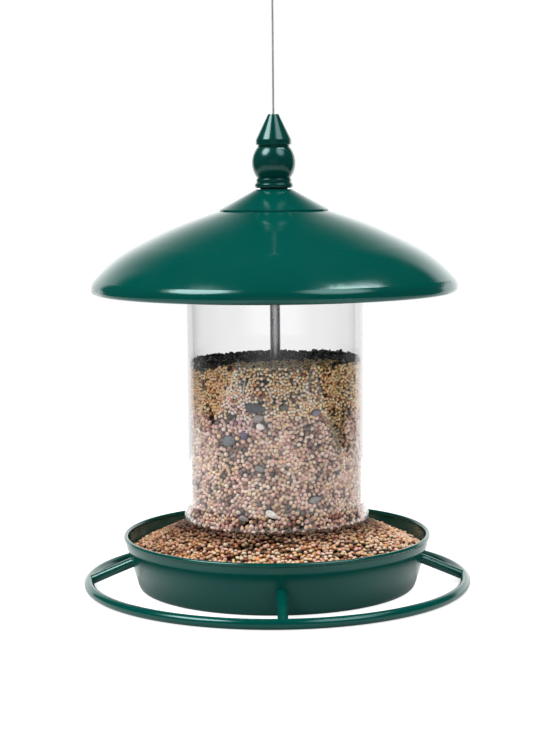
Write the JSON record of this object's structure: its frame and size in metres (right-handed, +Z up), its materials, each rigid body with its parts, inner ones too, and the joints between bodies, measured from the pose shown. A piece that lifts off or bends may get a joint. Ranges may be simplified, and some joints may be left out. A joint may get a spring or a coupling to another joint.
{
  "type": "bird feeder",
  "caption": "Hanging bird feeder: clear seed tube on a round tray with a perch ring, under a domed roof and finial that slide up a steel wire for filling.",
  "frame": {"origin": "on the ground under the middle of the tray, which the feeder stands on", "axes": "+Z up along the rod and the wire, -Y towards the picture's camera, +X to its right"},
  "size_m": [0.2436, 0.2436, 0.4067],
  "materials": {
    "green_enamel": "glossy enamel over steel and cast metal",
    "zinc_plate": "bright zinc plate",
    "rod_steel": "satin steel tube",
    "wire_steel": "stranded steel wire",
    "ferrule_metal": "pressed aluminium",
    "black_rubber": "matt rubber",
    "clear_plastic": "clear, thin and polished",
    "mixed_seed": "loose mixed millet, matt",
    "black_seed": "loose small black seed, matt"
  },
  "bodies": {
    "feeder": {"tray": "green_enamel", "perch_ring": "green_enamel", "perch_arms": "green_enamel", "base_washer": "zinc_plate", "base_nut": "zinc_plate", "spacer_sleeve": "zinc_plate", "tube_carrier": "zinc_plate", "center_rod": "rod_steel", "seed_tube": "clear_plastic", "seed_column": "mixed_seed", "dark_seed_layer": "black_seed", "seed_bed": "mixed_seed", "wire_stop": "ferrule_metal", "inner_wire": "wire_steel", "hanging_wire": "wire_steel", "wire_ferrule": "ferrule_metal", "wire_loop": "wire_steel"},
    "roof": {"roof_shell": "green_enamel", "roof_cap": "green_enamel", "guide_ring": "green_enamel", "roof_washer": "zinc_plate", "roof_nut": "zinc_plate", "hollow_stud": "zinc_plate", "finial_washer": "black_rubber", "finial": "green_enamel"}
  },
  "joints": [
    {"name": "roof_lift", "type": "slide", "parent": "feeder", "child": "roof", "axis": [0, 0, 1], "range_m": [0, 0.07]}
  ]
}
